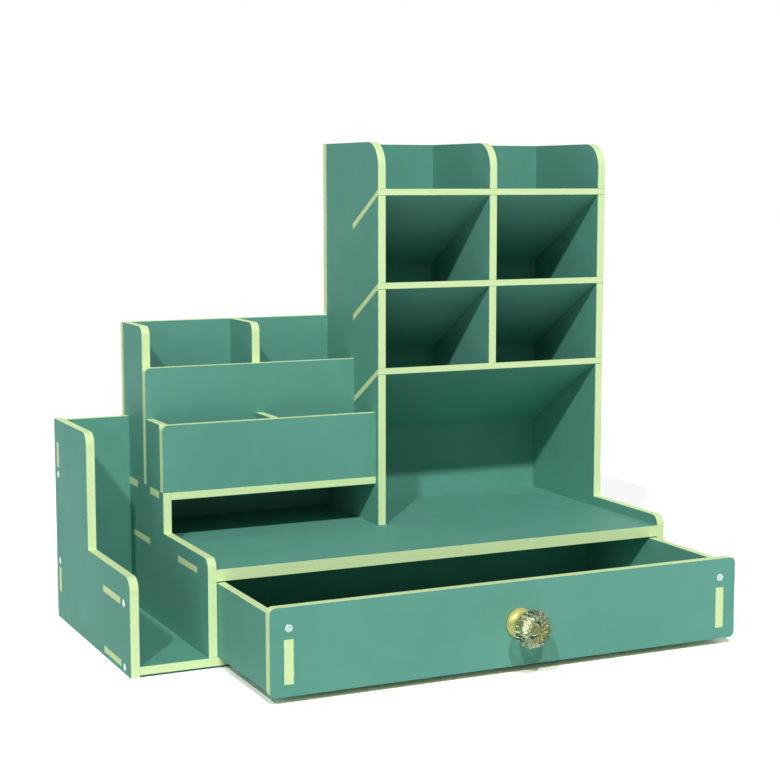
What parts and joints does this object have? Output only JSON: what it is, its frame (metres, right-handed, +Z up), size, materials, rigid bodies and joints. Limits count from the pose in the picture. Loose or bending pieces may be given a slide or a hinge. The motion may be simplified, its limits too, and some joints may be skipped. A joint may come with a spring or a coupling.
{
  "type": "desk organizer with drawer",
  "caption": "Painted board desk organizer: a file bay, tray and pen bays, a marker tower with sloping shelves, a writing desk and a drawer with a cut glass knob.",
  "frame": {"origin": "on the ground, under the middle of the box around the organizer with its drawer and knob where they stand at rest", "axes": "+X to the right along the width, +Y to the back, +Z up"},
  "size_m": [0.5, 0.3814, 0.4245],
  "materials": {
    "painted_board": "satin green lacquer on the faces, pale bare edges",
    "bare_edge": "bare pale board edge",
    "screw_steel": "bright zinc plated",
    "knob_brass": "pale satin brass",
    "knob_glass": "clear cut glass"
  },
  "bodies": {
    "cabinet": {"base_board": "painted_board", "desk_board": "painted_board", "file_bay_panel": "painted_board", "file_bay_back": "painted_board", "divider_panel": "painted_board", "right_panel": "painted_board", "tower_left_wall": "painted_board", "tower_mid_wall": "painted_board", "upper_shelf": "painted_board", "middle_shelf": "painted_board", "lower_shelf": "painted_board", "tower_back": "painted_board", "pen_bay_floor": "painted_board", "tray_front": "painted_board", "pen_bay_middle_board": "painted_board", "tray_divider": "painted_board", "pen_bay_divider": "painted_board", "pen_bay_back": "painted_board", "spare_slot_plug": "bare_edge", "side_panel_screws": "screw_steel", "spare_slot_screw": "screw_steel", "back_board_screws": "screw_steel"},
    "drawer": {"drawer_front": "painted_board", "drawer_left_side": "painted_board", "drawer_right_side": "painted_board", "drawer_back": "painted_board", "drawer_bottom": "painted_board", "drawer_left_post": "painted_board", "drawer_right_post": "painted_board", "drawer_front_screws": "screw_steel", "drawer_back_screws": "screw_steel", "knob_plate": "knob_brass", "knob_glass": "knob_glass", "knob_washer": "screw_steel", "knob_screw": "screw_steel"}
  },
  "joints": [
    {"name": "drawer_slide", "type": "slide", "parent": "cabinet", "child": "drawer", "axis": [0, -1, 0], "range_m": [-0.108, 0.06]}
  ]
}
